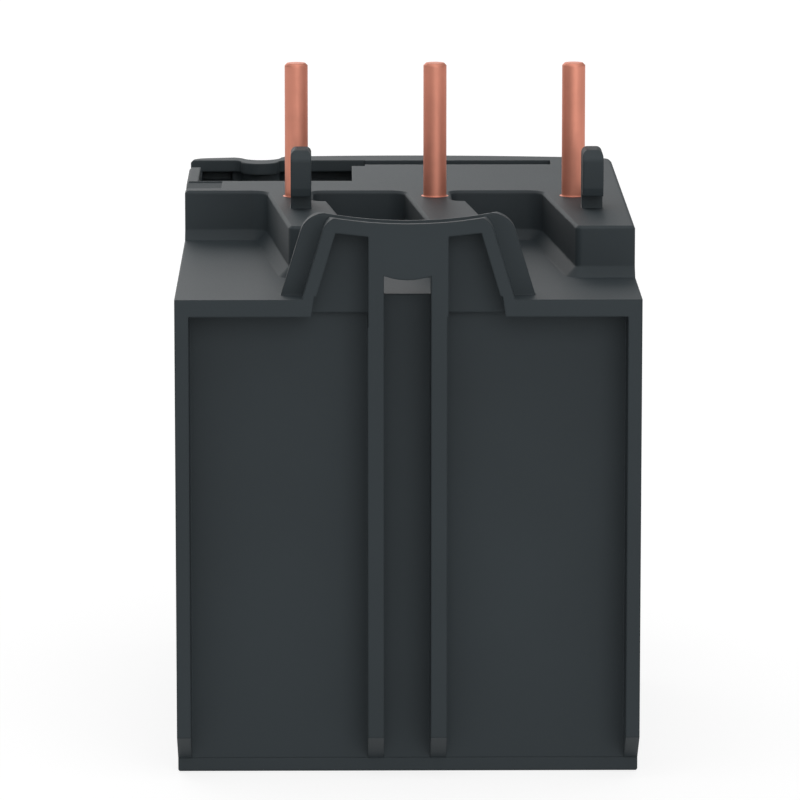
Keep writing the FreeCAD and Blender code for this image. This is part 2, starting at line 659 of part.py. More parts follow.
def current_dial():
    """Setting knob with a screwdriver slot, pointer nib, stem and snail cam."""
    x, z = DIAL
    knob = turned_d(x, z, [(0, 62.25), (DIAL_R, 62.25), (DIAL_R, 64.2), (DIAL_R - 0.6, 64.8), (4.3, 64.8),
                           (3.9, 65.9), (0, 65.9)])
    slot = block(x - 3.2, x + 3.2, 64.6, 67, z - 0.5, z + 0.5)
    arrow = prism_d([(x - 0.9, z + 4.6), (x + 0.9, z + 4.6), (x, z + 6.2)], 64.3, 67)
    knob = cut(knob, slot, arrow)
    return fuse(knob, rod_d(x, z, 1.9, 50.0, 62.4), snail_cam())


def setting_pivot_pin():
    x, depth = SETTING_PIVOT
    return rod_d(x, depth, 0.8, 44.6, 51.0)


def setting_lever():
    """Bell crank that follows the cam and moves the fulcrum of the trip lever."""
    px, pz = SETTING_PIVOT
    cx, cz = DIAL
    hub = rod_d(px, pz, 1.9, 47.2, 50.9)
    arm = prism_d([(px - 1.6, pz + 0.6), (px - 1.6, pz - 1.6), (cx + 4.2, cz + 1.6), (cx + 2.9, cz + 0.9),
                   (cx + 2.9, cz - 1.2), (cx + 4.4, cz - 1.2), (cx + 5.4, cz + 1.2), (px + 1.2, pz - 1.6)],
                  49.7, 50.9, [0, 0, 0, 0, 0.4, 0.4, 0, 0])
    long_arm = prism_d([(px, pz + 1.2), (px, pz - 1.0), (13.2, pz - 1.6), (13.2, pz + 0.4)], 47.4, 48.6)
    return cut(fuse(hub, arm, long_arm), rod_d(px, pz, 0.85, 46, 52))


def pusher(blade_x):
    """Finger of the carrier that meets a blade with its upper edge, sloped as the blade tilts."""
    x = blade_x
    z = CARRIER_Z
    points = [(x - 1.4, z + 0.8), (x - 0.85, z + 0.8), (x - 0.75, z + 1.3), (x - 0.1, z + 4.0),
              (x - 0.9, z + 4.0)]
    return prism_d(points, CARRIER_DEPTH - 1.0, BLADE_DEPTH[1] + 0.2)


def contact_carrier():
    """Sliding bar with one pusher for each contact blade and a ramp for the reset stem."""
    d = CARRIER_DEPTH
    bar = block(-18.6, 14.6, d - 1.0, d + 1.0, CARRIER_Z, CARRIER_Z + 1.4)
    ramp = prism_z([(12.4, d - 1.0), (14.6, d - 1.0), (14.6, d + 1.0), (13.4, d + 1.0)], CARRIER_Z, 35.0)
    return fuse(bar, pusher(NC_BLADE_X), pusher(NO_BLADE_X), ramp)


def trip_flag():
    """Pivoted indicator arm whose screen moves into the panel's window after a trip."""
    x, z = FLAG_PIVOT
    trunnion = rod_d(x, z, 0.5, 57.1, 59.2)
    arm = prism_d([(x - 0.8, z - 0.9), (x + 0.8, z - 0.9), (x + 0.7, 41.2), (x - 0.7, 41.2)], 58.8, 59.6,
                  [0.7, 0.7, 0, 0])
    screen = block(-3.6, 1.0, 58.8, 59.6, 40.6, 43.6)
    return fuse(arm, trunnion, screen)


def snap_spring():
    """Arched leaf between the base and the carrier that snaps it over."""
    d = CARRIER_DEPTH + 0.8
    left, right, low, high, t = 14.7, 18.7, CARRIER_Z + 0.3, CARRIER_Z + 2.1, 0.25
    outer = Part.Arc(at(left, d, low), at((left + right) / 2, d, high), at(right, d, low))
    inner = Part.Arc(at(left + t, d, low), at((left + right) / 2, d, high - t), at(right - t, d, low))
    feet = [Part.LineSegment(at(a, d, low), at(b, d, low)) for a, b in ((right, right - t), (left + t, left))]
    wire = Part.Wire([outer.toShape(), feet[0].toShape(), inner.toShape(), feet[1].toShape()])
    return Part.Face(wire).extrude(Vector(0, 1.6, 0))


# Auxiliary contacts

def riser(x):
    """Upright terminal plate behind a clamp screw."""
    plate = block(x - RISER_HALF, x + RISER_HALF, *RISER_DEPTH, 16.4, CONTACT_ARM_Z[1])
    return cut(plate, sided_rod(x, AUX_Z, 1.6, SHANK_SIDES, 49, 52))


def contact_arm(points):
    return prism_z(points, *CONTACT_ARM_Z)


def contact_button(x0, x1, z=CONTACT_Z, r=0.85):
    depth = sum(BLADE_DEPTH) / 2
    return Part.makeCylinder(r, abs(x1 - x0), at(min(x0, x1), depth, z), Vector(1, 0, 0))


def nc_fixed_contact():
    d0, d1 = BLADE_DEPTH
    arm = contact_arm([(-18.1, RISER_DEPTH[0]), (-16.9, RISER_DEPTH[0]), (-16.9, d1), (-19.4, d1),
                       (-19.4, d0), (-18.1, d0)])
    post = block(-19.4, -18.8, d0, d1, CONTACT_ARM_Z[0], 38.6)
    return fuse(riser(AUX_X[0]), arm, post, contact_button(-18.9, -17.12))


def no_fixed_contact():
    d0, d1 = BLADE_DEPTH
    arm = contact_arm([(13.8, RISER_DEPTH[0]), (15.0, RISER_DEPTH[0]), (15.0, d1), (10.0, d1), (10.0, d0),
                       (13.8, d0)])
    post = block(10.0, 10.6, d0, d1, CONTACT_ARM_Z[0], 38.6)
    return fuse(riser(AUX_X[3]), arm, post, contact_button(9.6, 10.1))


def nc_blade_terminal():
    tab_x = NC_BLADE_X + BLADE_T + 0.05
    arm = contact_arm([(-7.4, RISER_DEPTH[0]), (-6.2, RISER_DEPTH[0]), (-6.2, 57.6), (tab_x, 57.6),
                       (tab_x, 56.2), (-7.4, 56.2)])
    tab = block(tab_x, tab_x + 0.6, 56.0, 57.8, CONTACT_ARM_Z[0], BLADE_PIVOT_Z)
    return fuse(riser(AUX_X[1]), arm, tab)


def no_blade_terminal():
    tab_x = NO_BLADE_X + BLADE_T + 0.05
    arm = contact_arm([(5.0, RISER_DEPTH[0]), (6.2, RISER_DEPTH[0]), (6.2, 56.2), (tab_x + 0.6, 56.2),
                       (tab_x + 0.6, 57.6), (5.0, 57.6)])
    tab = block(tab_x, tab_x + 0.6, 56.0, 57.8, CONTACT_ARM_Z[0], BLADE_PIVOT_Z)
    return fuse(riser(AUX_X[2]), arm, tab)


def contact_blade(x, button):
    """Spring leaf with a contact button."""
    leaf = prism_x([(BLADE_DEPTH[0] + 0.5, 30.9), (BLADE_DEPTH[1] - 0.5, 30.9), (BLADE_DEPTH[1], 33.0),
                    (BLADE_DEPTH[1], 38.4), (BLADE_DEPTH[0], 38.4), (BLADE_DEPTH[0], 33.0)], x, x + BLADE_T)
    return fuse(leaf, contact_button(*button))


# Controls

def push_button(x, z, r, face_depth, stem_half):
    """Button with an eased round cap, a square stem to the mechanism and a retaining collar."""
    cap = turned_d(x, z, [(0, face_depth), (r - 0.5, face_depth), (r, face_depth - 0.5), (r, CAP_REAR),
                          (0, CAP_REAR)])
    stem = bar_d(x, z, stem_half, STEM_END, CAP_REAR + 0.1)
    collar = bar_d(x, z, stem_half + 0.4, STEM_END + 0.7, STEM_END + 1.4)
    return fuse(cap, stem, collar)


def coil_spring(x, z, radius, d0, d1, turns, wire_r=0.22, sides=10):
    """Compression spring as a many-sided coil of square wire."""
    count = turns * sides
    span = d1 - d0 - 2 * wire_r
    points = []
    for i in range(count + 1):
        angle = 2 * math.pi * i / sides
        points.append(at(x + radius * math.cos(angle), d0 + wire_r + span * i / count,
                         z + radius * math.sin(angle)))
    wire = Part.makePolygon(points)
    along = (points[1] - points[0]).normalize()
    outward = Vector(1, 0, 0)
    other = along.cross(outward).normalize()
    corners = [points[0] + outward * a * wire_r + other * b * wire_r
               for a, b in ((-1, -1), (1, -1), (1, 1), (-1, 1))]
    section = Part.makePolygon(corners + [corners[0]])
    return Part.Wire(wire).makePipeShell([section], True, False, MITRED)


def reset_mode_selector():
    """Ring round the reset button with a pointer, turned between hand and automatic reset."""
    x, z = RESET
    ring = turned_d(x, z, [(3.4, 62.25), (4.6, 62.25), (4.6, 64.6), (4.2, 65.2), (3.4, 65.2)])
    pointer = prism_d([(x - 5.9, z - 0.7), (x - 4.2, z - 1.2), (x - 4.2, z + 1.2), (x - 5.9, z + 0.7)],
                      62.25, 64.2)
    pointer.rotate(at(x, 0, z), Vector(0, 1, 0), 45)
    return fuse(ring, pointer)


def control_panel():
    """Fascia behind the clear cover with guides for the controls and a window for the flag."""
    rear = PANEL_FACE - PANEL_T
    plate = prism_d([(-20.8, 29.0), (20.8, 29.0), (20.8, 47.4), (-20.8, 47.4)], rear, PANEL_FACE, 0.6)
    x, z = DIAL
    plate = cut(plate, rod_d(x, z, 2.1, rear - 1, PANEL_FACE + 1))
    for (x, z), half in ((RESET, STEM_HALF), (STOP, STEM_HALF), (TEST, TEST_STEM_HALF)):
        guide = bar_d(x, z, half + 1.0, rear - 2.0, rear + 0.1)
        plate = cut(fuse(plate, guide), bar_d(x, z, half + GUIDE_GAP, rear - 3, PANEL_FACE + 1))
    x, z = FLAG
    return cut(plate, block(x - 2.2, x + 2.2, rear - 1, PANEL_FACE + 1, z - 1.3, z + 1.3))


def clear_cover():
    """Convex flap on a vertical hinge, with holes for the two main buttons and a pull edge."""
    z0, z1 = WINDOW_Z[0] + 0.3, WINDOW_Z[1] - 0.3
    hx, hd = HINGE
    outer = nose_block(z0, z1, 0.0, 60.0)
    shell = outer.cut(nose_block(z0 - 1, z1 + 1, 1.3, 59.0))
    right = WINDOW_X - 0.3
    pane = shell.common(block(hx, right, 60, DEPTH + 1, z0, z1))
    knuckle = rod_z(hx, hd, 0.95, z0, z1)
    trunnions = rod_z(hx, hd, 0.55, 28.2, 48.2)
    body = fuse(pane, knuckle, trunnions)
    for x, z in (RESET, STOP):
        body = cut(body, rod_d(x, z, BUTTON_R + 0.4, 60, DEPTH + 1))
    return body


def nodes():
    parts = {
        "main_housing": main_housing(),
        "bottom_cover": bottom_cover(),
        "power_terminal_block": power_terminal_block(),
        "auxiliary_terminal_block": auxiliary_terminal_block(),
        "power_terminal_screws": Part.makeCompound([power_screw(x) for x in POWER_X]),
        "power_clamp_plates": Part.makeCompound([power_clamp(x) for x in POWER_X]),
        "auxiliary_terminal_screws": Part.makeCompound([auxiliary_screw(x) for x in AUX_X]),
        "auxiliary_clamp_plates": Part.makeCompound([auxiliary_clamp(x) for x in AUX_X]),
        "control_panel": control_panel(),
        "clear_cover": clear_cover(),
        "current_dial": current_dial(),
        "reset_mode_selector": reset_mode_selector(),
        "trip_slide": trip_slide(),
        "differential_slide": differential_slide(),
        "differential_lever": differential_lever(),
        "mechanism_base": mechanism_base(),
        "trip_pivot_pin": trip_pivot_pin(),
        "trip_lever": trip_lever(),
        "compensation_bimetal": compensation_bimetal(),
        "setting_pivot_pin": setting_pivot_pin(),
        "setting_lever": setting_lever(),
        "contact_carrier": contact_carrier(),
        "trip_flag": trip_flag(),
        "snap_spring": snap_spring(),
        "nc_fixed_contact": nc_fixed_contact(),
        "nc_blade_terminal": nc_blade_terminal(),
        "nc_contact_blade": contact_blade(NC_BLADE_X, (NC_BLADE_X - 1.1, NC_BLADE_X + 0.1)),
        "no_fixed_contact": no_fixed_contact(),
        "no_blade_terminal": no_blade_terminal(),
        "no_contact_blade": contact_blade(NO_BLADE_X, (NO_BLADE_X + 0.1, NO_BLADE_X + 0.9)),
    }
    for i, x in enumerate(PIN_X):
        name = f"l{i + 1}"
        parts[f"plug_pin_{name}"] = plug_pin(x)
        parts[f"bimetal_strip_{name}"] = bimetal_strip(STRIP_X[i])
        parts[f"heater_winding_{name}"] = heater_winding(STRIP_X[i], x)
        parts[f"load_terminal_{name}"] = load_terminal(STRIP_X[i], POWER_X[i])
    for name, (x, z), r, stem_half, face_depth, coil_r in (
        ("reset", RESET, BUTTON_R, STEM_HALF, 68.9, 1.95),
        ("stop", STOP, BUTTON_R, STEM_HALF, 68.9, 1.95),
        ("test", TEST, TEST_R, TEST_STEM_HALF, 67.2, 1.2),
    ):
        parts[f"{name}_button"] = push_button(x, z, r, face_depth, stem_half)
        parts[f"{name}_spring"] = coil_spring(x, z, coil_r, PANEL_FACE, CAP_REAR, 4)
    return parts


def main():
    os.makedirs("parts", exist_ok=True)
    for name, shape in nodes().items():
        shape.exportStep(f"parts/{name}.step")
        print(name, shape.isValid(), len(shape.Solids), round(shape.Volume, 1), len(shape.Faces))


main()
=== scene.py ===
"""Thermal overload relay: materials, small details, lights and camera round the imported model."""
import json
import math

import bmesh
import bpy
from mathutils import Matrix, Vector


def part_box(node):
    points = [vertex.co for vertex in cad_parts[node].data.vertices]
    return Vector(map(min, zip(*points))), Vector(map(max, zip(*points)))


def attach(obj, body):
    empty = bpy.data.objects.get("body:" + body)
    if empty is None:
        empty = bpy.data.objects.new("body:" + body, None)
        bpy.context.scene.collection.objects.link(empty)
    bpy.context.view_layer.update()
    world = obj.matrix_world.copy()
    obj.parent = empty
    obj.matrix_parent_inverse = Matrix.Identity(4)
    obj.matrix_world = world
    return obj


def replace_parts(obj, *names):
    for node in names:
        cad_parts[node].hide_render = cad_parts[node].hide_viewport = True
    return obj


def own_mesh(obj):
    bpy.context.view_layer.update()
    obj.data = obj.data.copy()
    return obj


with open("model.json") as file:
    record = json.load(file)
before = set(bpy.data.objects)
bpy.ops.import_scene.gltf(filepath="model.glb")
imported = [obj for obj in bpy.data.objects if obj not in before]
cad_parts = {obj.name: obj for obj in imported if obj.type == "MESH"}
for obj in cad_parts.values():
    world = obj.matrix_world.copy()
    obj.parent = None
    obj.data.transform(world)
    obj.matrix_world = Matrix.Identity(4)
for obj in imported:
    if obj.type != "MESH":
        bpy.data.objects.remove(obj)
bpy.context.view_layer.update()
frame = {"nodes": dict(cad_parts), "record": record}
NODES = frame["nodes"]

MM = 0.001
SOFT_EDGE = 0.25 * MM      # moulded edges look rounded by this
REAR_Y = 35.0              # y of the rear plane in millimetres; depth is measured forwards from it
EPS = 0.02                 # how far marks stand off their surface, in millimetres
SMOOTH_ANGLE = math.radians(35)    # sharper edges than this stay sharp
GRAIN_HEIGHT = 0.00003     # relief of moulded plastic, in metres
LINE_HEIGHT = 0.00004      # relief of drawn metal, in metres
WIRE_R = 0.2               # radius of the spring wire, in millimetres
SPRING_TURNS = 4
THREAD_PITCH = 0.7         # of all terminal screws, in millimetres


def at(x, depth, z):
    """Point in metres, from millimetres across, in from the rear and up."""
    return Vector((x, REAR_Y - depth, z)) * MM


def box_mm(node):
    """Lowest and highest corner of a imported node, in millimetres."""
    low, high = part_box(node)
    return Vector(low) / MM, Vector(high) / MM


# Materials

def srgb(code):
    """Linear colour of a written hex colour."""
    parts = [int(code[i:i + 2], 16) / 255 for i in (0, 2, 4)]
    return tuple(c / 12.92 if c <= 0.04045 else ((c + 0.055) / 1.055) ** 2.4 for c in parts)


def new_material(name):
    material = bpy.data.materials.new(name)
    material.use_nodes = True
    nodes = material.node_tree.nodes
    return material, nodes, material.node_tree.links, nodes["Principled BSDF"]


def noise(nodes, links, coords, scale, detail):
    node = nodes.new("ShaderNodeTexNoise")
    node.inputs["Scale"].default_value = scale
    node.inputs["Detail"].default_value = detail
    node.inputs["Roughness"].default_value = 0.55
    links.new(coords, node.inputs["Vector"])
    return node.outputs["Fac"]


def ramp(nodes, links, fac, low, high):
    node = nodes.new("ShaderNodeValToRGB")
    node.color_ramp.elements[0].position = 0.3
    node.color_ramp.elements[1].position = 0.7
    node.color_ramp.elements[0].color = (*low, 1)
    node.color_ramp.elements[1].color = (*high, 1)
    links.new(fac, node.inputs["Fac"])
    return node.outputs["Color"]


def spread(nodes, links, fac, low, high):
    node = nodes.new("ShaderNodeMapRange")
    node.inputs["To Min"].default_value = low
    node.inputs["To Max"].default_value = high
    links.new(fac, node.inputs["Value"])
    return node.outputs["Result"]


def bumped(nodes, links, shader, height, strength, distance):
    """Relief on top of softened edges."""
    soft = nodes.new("ShaderNodeBevel")
    soft.samples = 6
    soft.inputs["Radius"].default_value = SOFT_EDGE
    node = nodes.new("ShaderNodeBump")
    node.inputs["Strength"].default_value = strength
    node.inputs["Distance"].default_value = distance
    links.new(height, node.inputs["Height"])
    links.new(soft.outputs["Normal"], node.inputs["Normal"])
    links.new(node.outputs["Normal"], shader.inputs["Normal"])


def scaled(colour, factor):
    return tuple(c * factor for c in colour)


def plastic(name, code, rough, relief=0.12, mottle=0.07, specular=0.5):
    """Moulded plastic: slow colour drift, spark-eroded grain and uneven gloss."""
    material, nodes, links, shader = new_material(name)
    coords = nodes.new("ShaderNodeTexCoord").outputs["Object"]
    base = srgb(code)
    drift = noise(nodes, links, coords, 55, 2)
    colour = ramp(nodes, links, drift, scaled(base, 1 - mottle), scaled(base, 1 + mottle))
    links.new(colour, shader.inputs["Base Color"])
    fine = noise(nodes, links, coords, 5200, 2)
    gloss = spread(nodes, links, fine, rough - 0.06, rough + 0.06)
    links.new(gloss, shader.inputs["Roughness"])
    shader.inputs["Specular IOR Level"].default_value = specular
    bumped(nodes, links, shader, fine, relief, GRAIN_HEIGHT)
    return material


def metal(name, code, rough, along, stretch=40, relief=0.08, mottle=0.12):
    """Drawn or rolled metal: fine lines along one axis, slow tarnish and uneven gloss."""
    material, nodes, links, shader = new_material(name)
    coords = nodes.new("ShaderNodeTexCoord").outputs["Object"]
    squeeze = nodes.new("ShaderNodeMapping")
    squeeze.inputs["Scale"].default_value = [1 / stretch if i == along else 1 for i in range(3)]
    links.new(coords, squeeze.inputs["Vector"])
    lines = noise(nodes, links, squeeze.outputs["Vector"], 3000, 3)
    base = srgb(code)
    patches = noise(nodes, links, coords, 180, 3)
    colour = ramp(nodes, links, patches, scaled(base, 1 - mottle), scaled(base, 1 + mottle / 2))
    links.new(colour, shader.inputs["Base Color"])
    shader.inputs["Metallic"].default_value = 1
    gloss = spread(nodes, links, lines, rough - 0.08, rough + 0.08)
    links.new(gloss, shader.inputs["Roughness"])
    bumped(nodes, links, shader, lines, relief, LINE_HEIGHT)
    return material


def clear(name):
    """Clear moulded plastic with a faint haze."""
    material, nodes, links, shader = new_material(name)
    coords = nodes.new("ShaderNodeTexCoord").outputs["Object"]
    haze = noise(nodes, links, coords, 90, 2)
    shader.inputs["Base Color"].default_value = (0.93, 0.95, 0.96, 1)
    shader.inputs["Transmission Weight"].default_value = 1
    shader.inputs["IOR"].default_value = 1.2
    links.new(spread(nodes, links, haze, 0.02, 0.08), shader.inputs["Roughness"])
    return material


HOUSING = plastic("housing_grey", "323a3e", 0.6, specular=0.3)
STEPS = plastic("terminal_grey", "31383c", 0.58, specular=0.3)
COPPER = metal("drawn_copper", "e69d87", 0.56, 2, relief=0.04)
ZINC = metal("zinc_plate", "c2c3bf", 0.32, 2, 4)
BRASS = metal("contact_brass", "c9a566", 0.32, 2, 8)
SPRING = metal("spring_wire", "a8aaad", 0.3, 1, 6)
BIMETAL = metal("rolled_bimetal", "b3aca0", 0.36, 2, 30)
RIBBON = metal("resistance_ribbon", "8f8b86", 0.42, 0, 10)
CLEAR = clear("clear_polycarbonate")
PANEL = plastic("panel_grey", "454b4f", 0.42)
WHITE = plastic("dial_white", "e3e3dd", 0.38, mottle=0.03)
BLUE = plastic("button_blue", "24569c", 0.3, relief=0.05, mottle=0.04)
RED = plastic("button_red", "b3231e", 0.3, relief=0.05, mottle=0.04)
BLACK = plastic("button_black", "1c1d1f", 0.34, relief=0.06)
NATURAL = plastic("natural_plastic", "dbd1b8", 0.42, mottle=0.04)
ORANGE = plastic("flag_orange", "ea6a16", 0.36, mottle=0.03)
INK = plastic("marking_ink", "202224", 0.5, relief=0.03)
PALE_INK = plastic("pale_marking_ink", "d5d7d4", 0.5, relief=0.03)

FINISH = {
    "housing_plastic": HOUSING, "terminal_plastic": STEPS, "copper": COPPER, "zinc_steel": ZINC,
    "clear_plastic": CLEAR, "panel_plastic": PANEL, "dial_white": WHITE, "button_blue": BLUE,
    "button_red": RED, "button_black": BLACK, "natural_plastic": NATURAL, "bimetal": BIMETAL,
    "heater_alloy": RIBBON, "contact_brass": BRASS, "spring_steel": SPRING, "flag_orange": ORANGE,
}
for part in frame["record"]["subparts"]:
    mesh = NODES[part["node"]].data
    mesh.materials.clear()
    mesh.materials.append(FINISH[part["material_slot"]])


# Small pieces: screws, springs and printed marks

def new_piece(name, data, material, body, place=Matrix.Identity(4)):
    """New object that rides on a body."""
    obj = bpy.data.objects.new(name, data)
    bpy.context.scene.collection.objects.link(obj)
    obj.matrix_world = place
    data.materials.append(material)
    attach(obj, body)
    return obj


def lathe(bm, x, z, profile, sides):
    """Closed surface of revolution along the depth, from (radius, depth) pairs.

    The radius is 0 at both ends.
    """
    rings = []
    for r, depth in profile:
        turns = [2 * math.pi * i / sides for i in range(sides if r else 1)]
        rings.append([bm.verts.new(at(x + r * math.cos(t), depth, z + r * math.sin(t)))
                      for t in turns])
    for ring, following in zip(rings, rings[1:]):
        for i in range(sides):
            corners = [ring[i % len(ring)], ring[(i + 1) % len(ring)],
                       following[(i + 1) % len(following)], following[i % len(following)]]
            bm.faces.new(dict.fromkeys(corners))


def slab(bm, x, z, half_x, half_z, d0, d1, taper=1.0, turn=0.0):
    """Bar along the depth whose rear end is scaled by taper and which is turned about its axis."""
    corners = []
    for depth, scale in ((d0, taper), (d1, 1.0)):
        for sx, sz in ((-1, -1), (1, -1), (1, 1), (-1, 1)):
            a, b = sx * half_x * scale, sz * half_z * scale
            corners.append(bm.verts.new(at(x + a * math.cos(turn) - b * math.sin(turn), depth,
                                           z + a * math.sin(turn) + b * math.cos(turn))))
    for face in ((0, 1, 2, 3), (7, 6, 5, 4), (0, 4, 5, 1), (1, 5, 6, 2), (2, 6, 7, 3), (3, 7, 4, 0)):
        bm.faces.new([corners[i] for i in face])


def mesh_of(name, bm):
    """Mesh of a bmesh, smooth but for its sharp edges."""
    bmesh.ops.recalc_face_normals(bm, faces=bm.faces)
    mesh = bpy.data.meshes.new(name)
    bm.to_mesh(mesh)
    bm.free()
    mesh.shade_smooth()
    mesh.set_sharp_from_angle(angle=SMOOTH_ANGLE)
    return mesh


def carved(name, body_mesh, tool_mesh):
    """body_mesh minus tool_mesh."""
    body = bpy.data.objects.new(name, body_mesh)
    tool = bpy.data.objects.new(name + "_tool", tool_mesh)
    for obj in (body, tool):
        bpy.context.scene.collection.objects.link(obj)
    cutter = body.modifiers.new("recess", "BOOLEAN")
    cutter.operation = "DIFFERENCE"
    cutter.solver = "EXACT"
    cutter.use_self = True
    cutter.object = tool
    view = bpy.context.evaluated_depsgraph_get()
    result = bpy.data.meshes.new_from_object(body.evaluated_get(view))
    bpy.data.objects.remove(body)
    bpy.data.objects.remove(tool)
    result.shade_smooth()
    result.set_sharp_from_angle(angle=SMOOTH_ANGLE)
    return result


def loft(bm, first, second):
    """Closed solid between two outlines with the same number of points."""
    rings = [[bm.verts.new(point) for point in outline] for outline in (first, second)]
    bm.faces.new(rings[0])
    bm.faces.new(reversed(rings[1]))
    for i in range(len(first)):
        j = (i + 1) % len(first)
        bm.faces.new([rings[0][i], rings[1][i], rings[1][j], rings[0][j]])


def tongue_dish(bm):
    """Hollow in the top of the rear tongue, through both plates and falling to the front."""
    low_z, radius, fall = 54.93, 45.0, 0.108
    half_width, above = 11.0, 60.0
    steps = 48
    turns = [math.radians(-14 + 28 * i / steps) for i in range(steps + 1)]
    outlines = []
    for depth in (-1.0, 4.62):
        low = low_z - fall * depth
        arc = [at(radius * math.sin(t), depth, low + radius * (1 - math.cos(t))) for t in turns]
        outlines.append(arc + [at(half_width, depth, above), at(-half_width, depth, above)])
    loft(bm, *outlines)


def lip_dish(bm):
    """Finger hollow in the front lip, which runs out softly to both sides."""
    x, base = 15.1, 68.92
    half, deep, ease = 3.9, 2.95, 2.0
    low_z, high_z = 46.2, 54.0
    turn = math.radians(8.2)
    steps = 10
    sweep = 2 * math.atan(deep / half)
    middle = half / math.sin(sweep) - ease
    points = [(-half - 0.5, 0.0)]
    points += [(-half + ease * math.sin(t), -ease * (1 - math.cos(t)))
               for t in [sweep * i / steps for i in range(steps + 1)]]
    points += [(middle * math.sin(t), middle * (1 - math.cos(t)) - deep)
               for t in [sweep * (i / steps - 1) for i in range(1, steps)]]
    points += [(0.0, -deep)] + [(-a, b) for a, b in reversed(points)]
    points += [(half + 0.5, 3.0), (-half - 0.5, 3.0)]
    placed = [(x + a * math.cos(turn) + b * math.sin(turn),
               base - a * math.sin(turn) + b * math.cos(turn)) for a, b in points]
    loft(bm, *[[at(a, depth, z) for a, depth in placed] for z in (low_z, high_z)])


def housing_shell():
    """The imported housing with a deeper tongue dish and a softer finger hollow."""
    shell = bmesh.new()
    shell.from_mesh(NODES["main_housing"].data)
    bmesh.ops.remove_doubles(shell, verts=shell.verts, dist=0.0005 * MM)
    body = mesh_of("housing_body", shell)
    if "custom_normal" in body.attributes:
        body.attributes.remove(body.attributes["custom_normal"])
    tool = bmesh.new()
    tongue_dish(tool)
    lip_dish(tool)
    mesh = carved("housing_shell", body, mesh_of("housing_cut", tool))
    mesh.materials.clear()
    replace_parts(new_piece("housing_shell", mesh, HOUSING, "housing"), "main_housing")


def terminal_screws(node, places, z, shank_r, head_t):
    """Pan heads with a slotted cross recess and a threaded shank, for the plain screws."""
    low, high = box_mm(node)
    head_r = (high.z - low.z) / 2 - 0.05
    tip, face = REAR_Y - high.y, REAR_Y - low.y
    under = face - head_t
    screws, recesses = bmesh.new(), bmesh.new()
    for x in places:
        profile = [(0, tip), (shank_r * 0.6, tip)]
        depth = tip + 0.3
        while depth + THREAD_PITCH < under:
            profile += [(shank_r * 0.78, depth), (shank_r, depth + THREAD_PITCH / 2)]
            depth += THREAD_PITCH
        profile += [(shank_r * 0.78, depth), (shank_r * 0.9, under), (head_r * 0.95, under),
                    (head_r, under + 0.12), (head_r, face - 0.5), (head_r * 0.93, face - 0.22),
                    (head_r * 0.75, face - 0.06), (head_r * 0.5, face), (0, face)]
        lathe(screws, x, z, profile, 40)
        slab(recesses, x, z, head_r * 0.86, 0.34, face - 0.6, face + 0.4)
        for turn in (0, math.pi / 2):
            slab(recesses, x, z, head_r * 0.5, 0.42, face - 1.1, face + 0.4, 0.6, turn)
    mesh = carved(node, mesh_of(node + "_body", screws), mesh_of(node + "_cut", recesses))
    piece = new_piece(node + "_detailed", mesh, ZINC, "housing")
    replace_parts(piece, node)


def coil(node):
    """Round-wire compression spring with closed ends, for the square-wire one.
    """
    low, high = box_mm(node)
    x, z = (low.x + high.x) / 2, (low.z + high.z) / 2
    radius = (high.x - low.x) / 2 - WIRE_R
    d0, d1 = REAR_Y - high.y + WIRE_R, REAR_Y - low.y - WIRE_R
    steps = 24
    closed = 0.75
    total = SPRING_TURNS + 2 * closed
    curve = bpy.data.curves.new(node + "_wire", "CURVE")
    curve.dimensions = "3D"
    curve.bevel_depth = WIRE_R * MM
    curve.bevel_resolution = 3
    curve.use_fill_caps = True
    spline = curve.splines.new("POLY")
    count = int(total * steps)
    spline.points.add(count)
    for i in range(count + 1):
        turn = i / steps
        rise = min(max((turn - closed) / SPRING_TURNS, 0), 1)
        ends = min(turn, closed) / closed + max(turn - closed - SPRING_TURNS, 0) / closed
        flat = 2 * WIRE_R * ends
        depth = d0 + flat * 0.9 + (d1 - d0 - 3.6 * WIRE_R) * rise
        angle = 2 * math.pi * turn
        place = at(x + radius * math.cos(angle), depth, z + radius * math.sin(angle))
        spline.points[i].co = (*place, 1)
    wire = bpy.data.objects.new(node + "_wire", curve)
    mesh = bpy.data.meshes.new_from_object(wire)
    bpy.data.objects.remove(wire)
    piece = new_piece(node + "_detailed", mesh, SPRING, "housing")
    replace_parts(piece, node)
    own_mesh(piece)


def strip(bm, x, z, turn, r0, r1, half, depth):
    """Thin radial mark on a face that looks forwards."""
    ends = [(r0, -half), (r1, -half), (r1, half), (r0, half)]
    rings = []
    for d in (depth - EPS, depth + EPS):
        rings.append([bm.verts.new(at(x + r * math.cos(turn) - w * math.sin(turn), d,
                                      z + r * math.sin(turn) + w * math.cos(turn)))
                      for r, w in ends])
    bm.faces.new(rings[1])
    for i in range(4):
        bm.faces.new([rings[0][i], rings[0][(i + 1) % 4], rings[1][(i + 1) % 4], rings[1][i]])


def number(text, x, depth, z, turn):
    """Printed plain number on the dial, whose foot points to the dial's axis."""
    curve = bpy.data.curves.new("number_" + text, "FONT")
    curve.body = text
    curve.size = 1.35 * MM
    curve.extrude = EPS * MM
    curve.align_x = "CENTER"
    curve.align_y = "CENTER"
    spin = Matrix.Rotation(math.pi / 2 - turn, 4, "Y")
    place = Matrix.Translation(at(x, depth, z)) @ spin @ Matrix.Rotation(math.pi / 2, 4, "X")
    new_piece("number_" + text, curve, INK, "current_dial", place)


